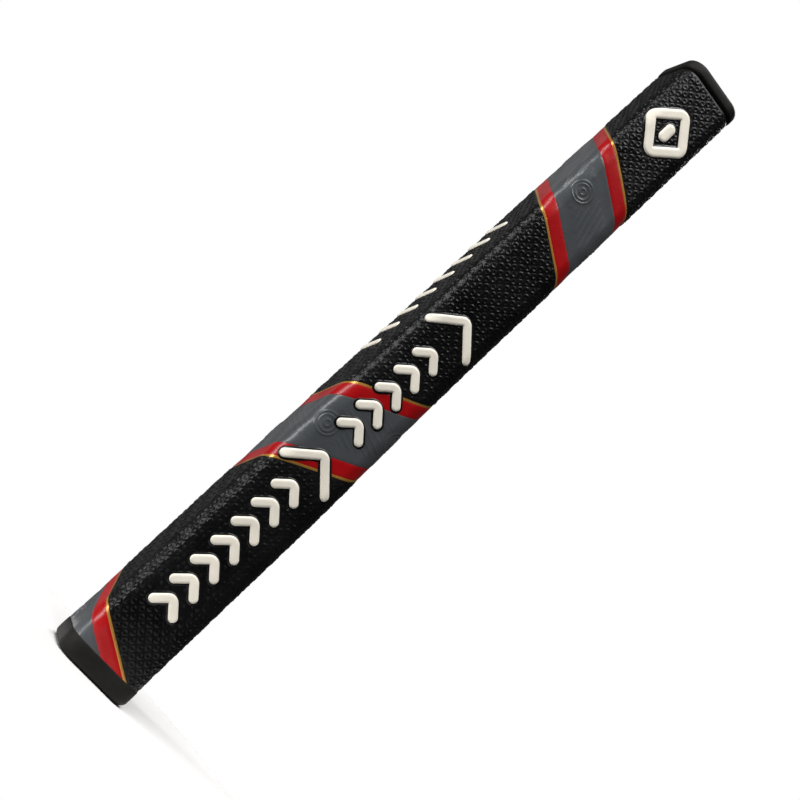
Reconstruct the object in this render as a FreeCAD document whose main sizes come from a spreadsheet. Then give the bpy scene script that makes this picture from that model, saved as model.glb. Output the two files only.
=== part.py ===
import FreeCAD
import Part
import Sketcher
import math
import os

# Putter grip: a foam core on a felt-backed polyurethane skin, closed by a rubber collar at the
# mouth and a rubber butt cap that holds a screw-in port plug. The shaft of the club enters at
# z = 0 and stops against the butt cap. +Z runs along the shaft bore to the butt, and the flat
# front face looks along -Y.

# Driving dimensions, in millimetres: name, value, meaning.
DIMENSIONS = (
    ("grip_length", 266.7, "whole length, mouth to butt"),
    ("bore_radius", 7.35, "shaft bore"),
    ("front_wall", 5.25, "bore to the front flat"),
    ("lower_back_wall", 6.95, "bore to the back, lower half"),
    ("upper_back_wall", 7.25, "bore to the back, upper half"),
    ("swell_back_wall", 8.35, "bore to the back at the palm swell"),
    ("lower_flat", 13.1, "half width at the front corners, lower half"),
    ("upper_flat", 12.1, "half width at the front corners, upper half"),
    ("lower_side", 13.3, "largest half width, lower half"),
    ("upper_side", 12.6, "largest half width, upper half"),
    ("swell_side", 12.5, "largest half width at the palm swell"),
    ("butt_side", 12.2, "largest half width at the butt"),
    ("corner_radius", 5.5, "front corners"),
    ("back_flat", 3.2, "half width of the level strip along the back"),
    ("taper_start", 76.0, "height where the lower half ends"),
    ("taper_end", 134.0, "height where the upper half begins"),
    ("swell_height", 198.0, "height of the palm swell"),
    ("skin_wall", 0.9, "polyurethane skin"),
    ("felt_wall", 0.6, "felt backing"),
    ("glue_line", 0.05, "gap that the adhesive fills between two layers"),
    ("seam_width", 1.2, "gap between the skin's two edges along the back"),
    ("collar_height", 6.2, "collar flange"),
    ("collar_proud", 0.3, "collar flange beyond the skin"),
    ("collar_round", 2.0, "rounding of the collar's lower edge"),
    ("sleeve_wall", 1.65, "wall of the collar's sleeve inside the core"),
    ("sleeve_length", 9.8, "collar sleeve above the flange"),
    ("lip_height", 4.2, "butt cap lip"),
    ("lip_round", 1.6, "rounding of the cap's end edge"),
    ("spigot_length", 12.0, "cap spigot inside the core"),
    ("spigot_wall", 1.65, "cap spigot around the insert"),
    ("vent_radius", 1.2, "air vent through the spigot's floor"),
    ("thread_radius", 5.0, "plug thread, M10"),
    ("thread_play", 0.06, "running clearance of the plug in the insert"),
    ("thread_length", 8.0, "plug thread below its washer"),
    ("insert_wall", 1.44, "wall of the threaded insert"),
    ("insert_length", 11.0, "threaded insert"),
    ("recess_margin", 0.4, "cap recess beyond the insert"),
    ("head_play", 0.3, "plug head to the recess wall"),
    ("head_height", 1.0, "plug head"),
    ("washer_height", 0.5, "sealing washer"),
    ("washer_inset", 0.3, "washer edge inside the head's edge"),
    ("washer_play", 0.15, "washer hole beyond the thread"),
    ("socket_flats", 2.5, "centre to flat of the plug's hexagon socket"),
    ("socket_depth", 3.0, "depth of the hexagon socket"),
    ("edge_break", 0.3, "chamfer of the plug's end"),
)
OVERRUN = 1.0  # how far a cutting profile runs past the face that it opens
SHEET = "Sizes"
FULL_TURN = 360.0
PARTS_FOLDER = "parts"

VALUES = {}
for dimension_name, dimension_value, dimension_meaning in DIMENSIONS:
    VALUES[dimension_name] = dimension_value


class Length:
    """A length with its present value and the sheet expression that drives it."""

    def __init__(self, value, text):
        self.value = value
        self.text = text

    def __add__(self, other):
        return Length(self.value + other.value, "(" + self.text + " + " + other.text + ")")

    def __sub__(self, other):
        return Length(self.value - other.value, "(" + self.text + " - " + other.text + ")")

    def __neg__(self):
        return Length(-self.value, "(-1 * " + self.text + ")")

    def halved(self):
        return Length(self.value / 2, "(" + self.text + " / 2)")

    def doubled(self):
        return self + self


def size(name):
    """A driving dimension from the sheet."""
    return Length(VALUES[name], SHEET + "." + name)


def fixed(number):
    """A plain number that no dimension drives."""
    return Length(number, str(number))


ZERO = fixed(0.0)


def fill_sheet(doc):
    """Write every driving dimension to a cell of its own, with its name as the alias."""
    sheet = doc.addObject("Spreadsheet::Sheet", SHEET)
    for row, (name, value, meaning) in enumerate(DIMENSIONS, start=1):
        sheet.set("A" + str(row), meaning)
        sheet.set("B" + str(row), str(value))
        sheet.setAlias("B" + str(row), name)
    doc.recompute()


def new_body(doc, label):
    body = doc.addObject("PartDesign::Body", label)
    body.Label = label
    return body


def origin_feature(body, role):
    """One of the body's own origin planes or axes."""
    for feature in body.Origin.OriginFeatures:
        if feature.Role == role:
            return feature
    raise RuntimeError("no origin feature " + role)


def new_sketch(body, name, role, height=None):
    """A sketch on an origin plane of the body, lifted along the plane's normal by height."""
    sketch = body.newObject("Sketcher::SketchObject", name)
    sketch.AttachmentSupport = [(origin_feature(body, role), "")]
    sketch.MapMode = "FlatFace"
    if height is not None:
        sketch.setExpression("AttachmentOffset.Base.z", height.text)
    return sketch


def bind(sketch, constraint, length):
    """Add a dimension to the sketch and drive it from the sheet."""
    index = sketch.addConstraint(constraint)
    sketch.setExpression("Constraints[" + str(index) + "]", length.text)


# ---------------------------------------------------------------- cross-section of the grip

def section(flat, side, back_wall):
    """The three lengths that shape the cross-section at one height."""
    return {"flat": size(flat), "side": size(side), "back_wall": size(back_wall)}


def midway(first, second):
    """The station half way between two others."""
    first_height, first_shape = first
    second_height, second_shape = second
    shape = {}
    for name in first_shape:
        shape[name] = (first_shape[name] + second_shape[name]).halved()
    return ((first_height + second_height).halved(), shape)


def stations():
    """Heights along the grip and the section at each of them."""
    lower = section("lower_flat", "lower_side", "lower_back_wall")
    foot = (size("collar_height") + size("glue_line"), lower)
    taper_start = (size("taper_start"), lower)
    taper_end = (size("taper_end"), section("upper_flat", "upper_side", "upper_back_wall"))
    swell = (size("swell_height"), section("upper_flat", "swell_side", "swell_back_wall"))
    head = (size("grip_length") - size("lip_height") - size("glue_line"),
            section("upper_flat", "butt_side", "upper_back_wall"))
    return (
        foot,
        midway(foot, taper_start),
        taper_start,
        midway(taper_start, taper_end),
        taper_end,
        midway(taper_end, swell),
        swell,
        midway(swell, head),
        head,
    )


def tangent_angle(front, front_radius, back, back_radius):
    """Direction, from both centres, of the points where the right side line touches its arcs."""
    run = math.hypot(back[0] - front[0], back[1] - front[1])
    heading = math.atan2(back[1] - front[1], back[0] - front[0])
    return heading - math.acos((front_radius - back_radius) / run)


def outline(body, name, height, shape, inset):
    """Closed outline: level front, two front corners, two flared sides and a round back."""
    front_radius = size("corner_radius") - inset
    front_x = shape["flat"] - size("corner_radius")
    front_y = size("corner_radius") - size("bore_radius") - size("front_wall")
    back_radius = shape["side"] - size("back_flat") - inset
    back_y = size("bore_radius") + shape["back_wall"] - shape["side"] + size("back_flat")
    back_x = size("back_flat")

    angle = tangent_angle((front_x.value, front_y.value), front_radius.value,
                          (back_x.value, back_y.value), back_radius.value)
    bottom = -math.pi / 2
    top = math.pi / 2
    corners = (
        (front_x.value, front_y.value, front_radius.value, bottom, angle),
        (back_x.value, back_y.value, back_radius.value, angle, top),
        (-back_x.value, back_y.value, back_radius.value, top, math.pi - angle),
        (-front_x.value, front_y.value, front_radius.value, math.pi - angle, 2 * math.pi + bottom),
    )

    sketch = new_sketch(body, name, "XY_Plane", height)
    normal = FreeCAD.Vector(0, 0, 1)
    ends = []
    for x, y, radius, first, last in corners:
        circle = Part.Circle(FreeCAD.Vector(x, y, 0), normal, radius)
        sketch.addGeometry(Part.ArcOfCircle(circle, first, last), False)
        start_point = FreeCAD.Vector(x + radius * math.cos(first), y + radius * math.sin(first), 0)
        end_point = FreeCAD.Vector(x + radius * math.cos(last), y + radius * math.sin(last), 0)
        ends.append((start_point, end_point))
    count = len(corners)
    for index in range(count):
        following = (index + 1) % count
        line = Part.LineSegment(ends[index][1], ends[following][0])
        sketch.addGeometry(line, False)
    for index in range(count):
        following = (index + 1) % count
        line_index = count + index
        sketch.addConstraint(Sketcher.Constraint("Tangent", index, 2, line_index, 1))
        sketch.addConstraint(Sketcher.Constraint("Tangent", line_index, 2, following, 1))
    for index, x, y, radius in ((0, front_x, front_y, front_radius),
                                (1, back_x, back_y, back_radius),
                                (2, -back_x, back_y, back_radius),
                                (3, -front_x, front_y, front_radius)):
        bind(sketch, Sketcher.Constraint("Radius", index, radius.value), radius)
        bind(sketch, Sketcher.Constraint("DistanceX", -1, 1, index, 3, x.value), x)
        bind(sketch, Sketcher.Constraint("DistanceY", -1, 1, index, 3, y.value), y)
    return sketch


def loft_layer(body, kind, name, inset):
    """Loft the outline, set in by inset, through every station."""
    sketches = []
    for index, (height, shape) in enumerate(stations()):
        sketches.append(outline(body, name + "_outline_" + str(index), height, shape, inset))
    loft = body.newObject(kind, name)
    loft.Profile = sketches[0]
    loft.Sections = sketches[1:]
    loft.Ruled = False
    body.Tip = loft
    return loft


def pad_outline(body, name, height, shape, inset, thickness):
    """Pad one outline upwards from a height."""
    sketch = outline(body, name + "_outline", height, shape, inset)
    pad = body.newObject("PartDesign::Pad", name)
    pad.Profile = sketch
    pad.Length = thickness.value
    pad.setExpression("Length", thickness.text)
    body.Tip = pad
    return pad


def round_rim(doc, body, name, base, height, radius):
    """Round the outer edges of base that lie at a height."""
    doc.recompute()
    edges = []
    for index, edge in enumerate(base.Shape.Edges, start=1):
        if all(abs(vertex.Z - height.value) < 1e-6 for vertex in edge.Vertexes):
            edges.append("Edge" + str(index))
    fillet = body.newObject("PartDesign::Fillet", name)
    fillet.Base = (base, edges)
    fillet.Radius = radius.value
    fillet.setExpression("Radius", radius.text)
    body.Tip = fillet
    return fillet


# ---------------------------------------------------------------- straight-sided profiles

def polygon(body, name, role, points):
    """Closed profile of straight lines on an origin plane, through corners given in order."""
    sketch = new_sketch(body, name, role)
    count = len(points)
    for index in range(count):
        across, up = points[index]
        next_across, next_up = points[(index + 1) % count]
        start_point = FreeCAD.Vector(across.value, up.value, 0)
        end_point = FreeCAD.Vector(next_across.value, next_up.value, 0)
        sketch.addGeometry(Part.LineSegment(start_point, end_point), False)
    for index in range(count):
        following = (index + 1) % count
        sketch.addConstraint(Sketcher.Constraint("Coincident", index, 2, following, 1))
    for index, (across, up) in enumerate(points):
        bind(sketch, Sketcher.Constraint("DistanceX", -1, 1, index, 1, across.value), across)
        bind(sketch, Sketcher.Constraint("DistanceY", -1, 1, index, 1, up.value), up)
    return sketch


def turn(body, kind, name, points):
    """Revolve a profile of (radius, height) corners about the bore's axis, or groove with it."""
    sketch = polygon(body, name + "_profile", "XZ_Plane", points)
    feature = body.newObject(kind, name)
    feature.Profile = sketch
    feature.ReferenceAxis = (sketch, ["V_Axis"])
    feature.Angle = FULL_TURN
    body.Tip = feature
    return feature


def block(inner, outer, low, high):
    """Corners of a plain rectangle between two radii and two heights."""
    return ((inner, low), (outer, low), (outer, high), (inner, high))


# ---------------------------------------------------------------- lengths shared by pieces

def layer_insets():
    """How far inside the outer surface each layer's faces lie."""
    skin_inner = size("skin_wall")
    felt_outer = skin_inner + size("glue_line")
    felt_inner = felt_outer + size("felt_wall")
    core_outer = felt_inner + size("glue_line")
    return {"skin": (ZERO, skin_inner), "felt": (felt_outer, felt_inner), "core": core_outer}


def sleeve_radius():
    return size("bore_radius") + size("sleeve_wall")


def sleeve_top():
    return size("collar_height") + size("sleeve_length")


def insert_bore():
    return size("thread_radius") + size("thread_play")


def insert_radius():
    return insert_bore() + size("insert_wall")


def spigot_radius():
    return insert_radius() + size("glue_line") + size("spigot_wall")


def spigot_bottom():
    """Where the shaft stops against the butt cap."""
    return size("grip_length") - size("lip_height") - size("spigot_length")


def recess_floor():
    """Level of the insert's rim, on which the washer sits."""
    stack = size("head_height") + size("washer_height") + size("glue_line").doubled()
    return size("grip_length") - stack


def head_radius():
    return insert_radius() + size("recess_margin") - size("head_play")


# ---------------------------------------------------------------- the pieces

def foam_core(doc):
    """Moulded foam core: bore for the shaft, socket for the collar sleeve and the cap spigot."""
    body = new_body(doc, "foam_core")
    loft_layer(body, "PartDesign::AdditiveLoft", "core_loft", layer_insets()["core"])
    overrun = fixed(OVERRUN)
    foot_radius = sleeve_radius() + size("glue_line")
    foot_top = sleeve_top() + size("glue_line")
    head_socket = spigot_radius() + size("glue_line")
    head_bottom = spigot_bottom() - size("glue_line")
    hollow = (
        (ZERO, size("collar_height") - overrun),
        (foot_radius, size("collar_height") - overrun),
        (foot_radius, foot_top),
        (size("bore_radius"), foot_top),
        (size("bore_radius"), head_bottom),
        (head_socket, head_bottom),
        (head_socket, size("grip_length") - size("lip_height") + overrun),
        (ZERO, size("grip_length") - size("lip_height") + overrun),
    )
    turn(body, "PartDesign::Groove", "core_hollow", hollow)
    return body


def wrapped_sheet(doc, label, insets, slot):
    """A sheet wrapped round the core, with its two edges facing each other along the back."""
    body = new_body(doc, label)
    outer, inner = insets
    loft_layer(body, "PartDesign::AdditiveLoft", label + "_outside", outer)
    loft_layer(body, "PartDesign::SubtractiveLoft", label + "_inside", inner)
    half = slot.halved()
    reach = size("lower_side").doubled()
    strip = ((-half, ZERO), (half, ZERO), (half, reach), (-half, reach))
    sketch = polygon(body, label + "_seam", "XY_Plane", strip)
    pocket = body.newObject("PartDesign::Pocket", label + "_slot")
    pocket.Profile = sketch
    pocket.Type = "ThroughAll"
    pocket.Reversed = True
    body.Tip = pocket
    return body


def seam_bead(doc):
    """Polyurethane bead that closes the seam, as deep as the skin and the felt together."""
    insets = layer_insets()
    stock = new_body(doc, "seam_stock")
    loft_layer(stock, "PartDesign::AdditiveLoft", "seam_outside", ZERO)
    loft_layer(stock, "PartDesign::SubtractiveLoft", "seam_inside", insets["felt"][1])
    width = size("seam_width") - size("glue_line").doubled()
    strip = doc.addObject("Part::Box", "seam_strip")
    strip.setExpression("Length", width.text)
    strip.setExpression("Width", size("lower_side").doubled().text)
    strip.setExpression("Height", size("grip_length").text)
    strip.setExpression("Placement.Base.x", (-width.halved()).text)
    bead = doc.addObject("Part::Common", "seam_bead")
    bead.Base = stock
    bead.Tool = strip
    bead.Label = "seam_bead"
    return bead


def lower_collar(doc):
    """Rubber collar: a flange round the mouth and a sleeve glued into the core."""
    body = new_body(doc, "lower_collar")
    lower = section("lower_flat", "lower_side", "lower_back_wall")
    flange = pad_outline(body, "flange", ZERO, lower, -size("collar_proud"), size("collar_height"))
    round_rim(doc, body, "flange_round", flange, ZERO, size("collar_round"))
    overrun = fixed(OVERRUN)
    sleeve = block(ZERO, sleeve_radius(), size("collar_height") - overrun, sleeve_top())
    turn(body, "PartDesign::Revolution", "sleeve", sleeve)
    mouth = block(ZERO, size("bore_radius"), -overrun, sleeve_top() + overrun)
    turn(body, "PartDesign::Groove", "mouth", mouth)
    return body


def butt_cap(doc):
    """Rubber butt cap: a lip over the end and a spigot that holds the threaded insert."""
    body = new_body(doc, "butt_cap")
    butt = section("upper_flat", "butt_side", "upper_back_wall")
    lip_bottom = size("grip_length") - size("lip_height")
    lip = pad_outline(body, "lip", lip_bottom, butt, ZERO, size("lip_height"))
    round_rim(doc, body, "lip_round", lip, size("grip_length"), size("lip_round"))
    overrun = fixed(OVERRUN)
    spigot = block(ZERO, spigot_radius(), spigot_bottom(), lip_bottom + overrun)
    turn(body, "PartDesign::Revolution", "spigot", spigot)
    recess_radius = insert_radius() + size("recess_margin")
    seat_radius = insert_radius() + size("glue_line")
    seat_floor = recess_floor() - size("insert_length") - size("glue_line")
    port = (
        (ZERO, spigot_bottom() - overrun),
        (size("vent_radius"), spigot_bottom() - overrun),
        (size("vent_radius"), seat_floor),
        (seat_radius, seat_floor),
        (seat_radius, recess_floor()),
        (recess_radius, recess_floor()),
        (recess_radius, size("grip_length") + overrun),
        (ZERO, size("grip_length") + overrun),
    )
    turn(body, "PartDesign::Groove", "port", port)
    return body


def port_insert(doc):
    """Threaded metal insert, bonded in the butt cap."""
    body = new_body(doc, "port_insert")
    bottom = recess_floor() - size("insert_length")
    ring = block(insert_bore(), insert_radius(), bottom, recess_floor())
    turn(body, "PartDesign::Revolution", "insert_ring", ring)
    return body


def plug_washer(doc):
    """Sealing washer under the plug's head."""
    body = new_body(doc, "plug_washer")
    hole = size("thread_radius") + size("washer_play")
    edge = head_radius() - size("washer_inset")
    bottom = recess_floor() + size("glue_line")
    ring = block(hole, edge, bottom, bottom + size("washer_height"))
    turn(body, "PartDesign::Revolution", "washer_ring", ring)
    return body


def port_plug(doc):
    """Screw plug that closes the port, with a hexagon socket in its head."""
    body = new_body(doc, "port_plug")
    head_bottom = size("grip_length") - size("head_height")
    tip = recess_floor() - size("thread_length")
    bevel = size("edge_break")
    plug = (
        (ZERO, tip),
        (size("thread_radius") - bevel, tip),
        (size("thread_radius"), tip + bevel),
        (size("thread_radius"), head_bottom),
        (head_radius(), head_bottom),
        (head_radius(), size("grip_length") - bevel),
        (head_radius() - bevel, size("grip_length")),
        (ZERO, size("grip_length")),
    )
    turn(body, "PartDesign::Revolution", "plug_turned", plug)
    floor = size("grip_length") - size("socket_depth")
    sketch = new_sketch(body, "socket_outline", "XY_Plane", floor)
    across = size("socket_flats").value / math.cos(math.pi / 6)
    corners = []
    for index in range(6):
        turn_angle = index * math.pi / 3
        corners.append(FreeCAD.Vector(across * math.cos(turn_angle), across * math.sin(turn_angle), 0))
    for index in range(6):
        sketch.addGeometry(Part.LineSegment(corners[index], corners[(index + 1) % 6]), False)
    circle = Part.Circle(FreeCAD.Vector(0, 0, 0), FreeCAD.Vector(0, 0, 1), across)
    sketch.addGeometry(circle, True)
    for index in range(6):
        sketch.addConstraint(Sketcher.Constraint("Coincident", index, 2, (index + 1) % 6, 1))
        sketch.addConstraint(Sketcher.Constraint("PointOnObject", index, 1, 6))
    for index in range(1, 6):
        sketch.addConstraint(Sketcher.Constraint("Equal", 0, index))
    sketch.addConstraint(Sketcher.Constraint("Coincident", 6, 3, -1, 1))
    sketch.addConstraint(Sketcher.Constraint("PointOnObject", 0, 1, -1))
    corner_reach = Length(across, "(" + size("socket_flats").text + " / cos(30 deg))")
    bind(sketch, Sketcher.Constraint("Radius", 6, across), corner_reach)
    pocket = body.newObject("PartDesign::Pocket", "socket")
    pocket.Profile = sketch
    pocket.Type = "ThroughAll"
    pocket.Reversed = True
    body.Tip = pocket
    return body


def check_document(doc):
    """Stop if any object failed to compute."""
    for item in doc.Objects:
        if "Invalid" in item.State or "Error" in item.State:
            raise RuntimeError(item.Name + " did not compute: " + str(item.State))


def export_pieces(pieces):
    """Check each piece's shape and write it under its node's name."""
    for piece in pieces:
        shape = piece.Shape
        if shape.isNull() or not shape.isValid():
            raise RuntimeError(piece.Label + " has no valid shape")
    os.makedirs(PARTS_FOLDER, exist_ok=True)
    for piece in pieces:
        shape = piece.Shape
        shape.exportStep(os.path.join(PARTS_FOLDER, piece.Label + ".step"))
        print(piece.Label, "solids", len(shape.Solids), "volume", round(shape.Volume, 1))


def main():
    doc = FreeCAD.newDocument("putter_grip")
    fill_sheet(doc)
    insets = layer_insets()
    pieces = [
        foam_core(doc),
        wrapped_sheet(doc, "felt_backing", insets["felt"], size("seam_width")),
        wrapped_sheet(doc, "outer_skin", insets["skin"], size("seam_width")),
        seam_bead(doc),
        lower_collar(doc),
        butt_cap(doc),
        port_insert(doc),
        plug_washer(doc),
        port_plug(doc),
    ]
    doc.recompute()
    check_document(doc)
    export_pieces(pieces)


main()
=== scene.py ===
import math

import bmesh
import bpy
import numpy as np
from mathutils import Matrix, Vector


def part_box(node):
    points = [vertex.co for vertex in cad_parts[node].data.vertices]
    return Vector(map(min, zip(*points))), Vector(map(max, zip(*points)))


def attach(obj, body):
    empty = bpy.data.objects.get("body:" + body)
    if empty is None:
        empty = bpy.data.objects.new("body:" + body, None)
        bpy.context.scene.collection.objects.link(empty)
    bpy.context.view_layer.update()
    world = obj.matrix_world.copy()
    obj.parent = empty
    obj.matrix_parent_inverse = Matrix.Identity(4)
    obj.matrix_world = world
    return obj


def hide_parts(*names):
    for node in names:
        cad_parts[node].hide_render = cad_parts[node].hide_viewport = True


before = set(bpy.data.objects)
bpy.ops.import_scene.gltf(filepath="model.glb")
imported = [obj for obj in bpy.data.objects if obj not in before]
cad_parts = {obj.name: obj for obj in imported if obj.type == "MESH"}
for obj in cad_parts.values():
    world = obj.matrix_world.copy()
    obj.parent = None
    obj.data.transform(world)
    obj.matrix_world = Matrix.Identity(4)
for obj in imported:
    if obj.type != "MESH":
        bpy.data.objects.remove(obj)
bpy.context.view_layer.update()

bl_info = {
    "name": "Putter Grip Studio",
    "version": (1, 0, 0),
    "blender": (4, 5, 0),
    "location": "3D Viewport > Sidebar > Grip",
    "description": "Dresses a putter grip: skin, colour bands, raised marks, collar and cap",
    "category": "Object",
}

# The grip stands on its mouth: +Z runs up the shaft bore and the flat front face looks along -Y.
# The skin is drawn flat first, as the sheet it is cut from, and then wrapped. On the flat sheet
# x is the way round from the middle of the front face, y is the height and z is the relief.
SKIN_LOW, SKIN_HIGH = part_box("outer_skin")
COLLAR_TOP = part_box("lower_collar")[1].z
CAP_LOW, CAP_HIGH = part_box("butt_cap")
PLUG_LOW, PLUG_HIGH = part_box("port_plug")
INSERT_LOW, INSERT_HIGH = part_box("port_insert")
GLUE_LINE = 0.00005  # gap that the adhesive fills
SLEEVE_WALL = 0.00165  # wall of the collar's sleeve and of the cap's spigot
MOUTH_CHAMFER = 0.0005  # chamfer of the bore's mouth
SKIN_TUCK = 0.0006  # how far the skin runs down behind the collar
MARK_MARGIN = 0.0008  # the pressed relief fades out this close to a raised mark
MERGE = 1e-6  # vertices closer than this are one


# ---- settings

def metres(name, description, default):
    """A length setting, in metres."""
    return bpy.props.FloatProperty(
        name=name, description=description, default=default, unit="LENGTH", precision=5)


def hex_colour(name, description, default):
    """A colour setting, as an sRGB hex value."""
    return bpy.props.StringProperty(name=name, description=description, default=default)


class GripShapeSettings(bpy.types.PropertyGroup):
    """Lengths that set the cross-section of the grip and where it changes."""

    front: metres("Front", "Bore axis to the flat front face", -SKIN_LOW.y)
    lower_flat: metres("Lower flat", "Half width at the front corners, lower half", 0.0131)
    upper_flat: metres("Upper flat", "Half width at the front corners, upper half", 0.0121)
    lower_side: metres("Lower side", "Largest half width, lower half", 0.0133)
    upper_side: metres("Upper side", "Largest half width, upper half", 0.0126)
    swell_side: metres("Swell side", "Largest half width at the palm swell", 0.0125)
    butt_side: metres("Butt side", "Largest half width at the butt", 0.0122)
    lower_back: metres("Lower back", "Bore axis to the back, lower half", 0.0143)
    upper_back: metres("Upper back", "Bore axis to the back, upper half and butt", 0.0146)
    swell_back: metres("Swell back", "Bore axis to the back at the palm swell", 0.0157)
    corner_radius: metres("Corner radius", "Rounding of the front corners", 0.0055)
    back_flat: metres("Back flat", "Half width of the level strip along the back", 0.0032)
    taper_start: metres("Taper start", "Height where the lower half ends", 0.076)
    taper_end: metres("Taper end", "Height where the upper half begins", 0.134)
    swell_height: metres("Swell height", "Height of the palm swell", 0.198)
    bore_radius: metres("Bore radius", "Radius of the shaft bore", 0.00735)


class SkinSettings(bpy.types.PropertyGroup):
    """Relief of the embossed skin and the layout of its colour bands."""

    rings_round: bpy.props.IntProperty(
        name="Rings round", description="Embossed rings in one row round the grip", default=29)
    ring_radius: metres("Ring radius", "Crest radius of one embossed ring", 0.00072)
    ring_width: metres("Ring width", "Half width of a ring's crest", 0.00042)
    ring_relief: metres("Ring relief", "Height of a ring above the skin", 0.00030)
    ring_samples: bpy.props.IntProperty(
        name="Ring samples", description="Mesh faces across one ring's pitch", default=12)
    slope: bpy.props.FloatProperty(
        name="Band slope", description="Rise of a band for each unit of way round",
        default=0.56)
    band_stripe: metres("Red stripe", "Height of a red stripe along the grip", 0.0051)
    band_line: metres("Gold line", "Height of a gold line along the grip", 0.0009)
    band_field: metres("Grey field", "Height of a grey field along the grip", 0.0212)
    lower_band: metres("Lower band", "Height of the lower band's middle on the front", -0.0060)
    middle_band: metres("Middle band", "Height of the middle band's middle on the front", 0.1016)
    upper_band: metres("Upper band", "Height of the upper band's middle on the front", 0.2026)
    mark_stroke: metres("Mark stroke", "Width of a raised mark's stroke", 0.003)
    mark_relief: metres("Mark relief", "Height of a raised mark above the skin", 0.00055)
    mark_border: metres("Mark border", "Width of the black border round a raised mark", 0.0007)


class ColourSettings(bpy.types.PropertyGroup):
    """Colours of the grip, as sRGB hex values."""

    skin_black: hex_colour("Skin black", "Embossed skin", "#070708")
    band_grey: hex_colour("Band grey", "Grey field of a band", "#484B4E")
    band_red: hex_colour("Band red", "Red stripe of a band", "#A4060C")
    band_gold: hex_colour("Band gold", "Gold line of a band", "#BE8B40")
    mark_cream: hex_colour("Mark cream", "Raised marks", "#F8F1E2")
    rubber: hex_colour("Rubber", "Collar and butt cap", "#0E0D0A")
    floor: hex_colour("Floor", "Studio floor", "#F6F5F3")


# ---- the wrapped surface

def stations(shape):
    """Heights along the skin with the flat, side and back lengths at each of them."""
    lower = (shape.lower_flat, shape.lower_side, shape.lower_back)
    upper = (shape.upper_flat, shape.upper_side, shape.upper_back)
    swell = (shape.upper_flat, shape.swell_side, shape.swell_back)
    butt = (shape.upper_flat, shape.butt_side, shape.upper_back)
    named = ((SKIN_LOW.z, lower), (shape.taper_start, lower), (shape.taper_end, upper),
             (shape.swell_height, swell), (SKIN_HIGH.z, butt))
    heights, lengths = [SKIN_LOW.z], [lower]
    for height, values in named[1:]:
        heights += [(height + heights[-1]) / 2, height]
        lengths += [tuple((a + b) / 2 for a, b in zip(values, lengths[-1])), values]
    return np.array(heights), np.array(lengths)


def smooth_between(heights, lengths, height):
    """Value at each height on a smooth curve through the stations."""
    height = np.clip(height, heights[0], heights[-1])
    index = np.clip(np.searchsorted(heights, height) - 1, 0, len(heights) - 2)
    step = heights[index + 1] - heights[index]
    t = ((height - heights[index]) / step)[..., None]
    slopes = np.gradient(lengths, heights, axis=0)
    start, end = lengths[index], lengths[index + 1]
    lead, trail = slopes[index] * step[..., None], slopes[index + 1] * step[..., None]
    square, cube = t * t, t * t * t
    return (start * (2 * cube - 3 * square + 1) + lead * (cube - 2 * square + t)
            + end * (3 * square - 2 * cube) + trail * (cube - square))


def section_lengths(shape, height):
    """Radii, centres and arc lengths of half the cross-section at each height."""
    heights, lengths = stations(shape)
    values = smooth_between(heights, lengths, height)
    flat, side, back = values[..., 0], values[..., 1], values[..., 2]
    front_radius, back_x = shape.corner_radius, shape.back_flat
    front_x = flat - front_radius
    front_y = front_radius - shape.front
    back_radius = side - back_x
    back_y = back - back_radius
    narrowing = front_radius - back_radius
    run = np.hypot(back_x - front_x, back_y - front_y)
    heading = np.arctan2(back_y - front_y, back_x - front_x)
    angle = heading - np.arccos(narrowing / run)
    corner = front_radius * (angle + math.pi / 2)
    side_length = np.sqrt(run ** 2 - narrowing ** 2)
    shoulder = back_radius * (math.pi / 2 - angle)
    half = front_x + corner + side_length + shoulder + back_x
    return front_x, front_y, back_y, back_radius, angle, corner, side_length, shoulder, half


def half_girth(shape):
    """Way round from the middle of the front to the back seam, where the upper half begins."""
    return float(section_lengths(shape, np.array([shape.taper_end]))[-1][0])


def wrap(shape, around, height, relief):
    """Points on the grip for points on the flat sheet, as three arrays joined."""
    (front_x, front_y, back_y, back_radius, angle,
     corner, side_length, shoulder, half) = section_lengths(shape, height)
    # the sheet is as wide as the grip's girth at one height and stretches a little elsewhere
    way = np.abs(around) * half / half_girth(shape)
    hand = np.where(around < 0, -1.0, 1.0)
    end_of_corner = front_x + corner
    end_of_side = end_of_corner + side_length
    end_of_shoulder = end_of_side + shoulder
    # each of these also holds for the parts before its own, so the first that holds counts
    in_front, in_corner, in_side, in_shoulder = (
        way <= end for end in (front_x, end_of_corner, end_of_side, end_of_shoulder))
    front_radius, back_x = shape.corner_radius, shape.back_flat
    turn = np.select((in_front, in_corner, in_side, in_shoulder),
                     (-math.pi / 2, -math.pi / 2 + (way - front_x) / front_radius, angle,
                      angle + (way - end_of_side) / back_radius), math.pi / 2)
    normal_x, normal_y = np.cos(turn), np.sin(turn)
    slide = np.maximum(way - end_of_corner, 0.0)
    x = np.select((in_front, in_side, in_shoulder),
                  (way, front_x + front_radius * normal_x - np.sin(angle) * slide,
                   back_x + back_radius * normal_x), end_of_shoulder + back_x - way)
    y = np.where(in_side, front_y + front_radius * normal_y + np.cos(angle) * slide,
                 back_y + back_radius * normal_y)
    return np.stack((hand * (x + normal_x * relief), y + normal_y * relief, height), axis=-1)


# ---- mesh helpers

def flat_sheet(low, high, spacing_x, spacing_y):
    """A bmesh grid on the flat sheet between two corners."""
    bm = bmesh.new()
    across = max(2, round((high[0] - low[0]) / spacing_x))
    along = max(2, round((high[1] - low[1]) / spacing_y))
    size = Matrix.Diagonal((high[0] - low[0], high[1] - low[1], 1, 1))
    place = Matrix.Translation(((low[0] + high[0]) / 2, (low[1] + high[1]) / 2, 0))
    bmesh.ops.create_grid(bm, x_segments=across, y_segments=along, size=0.5, matrix=place @ size)
    return bm


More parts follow.
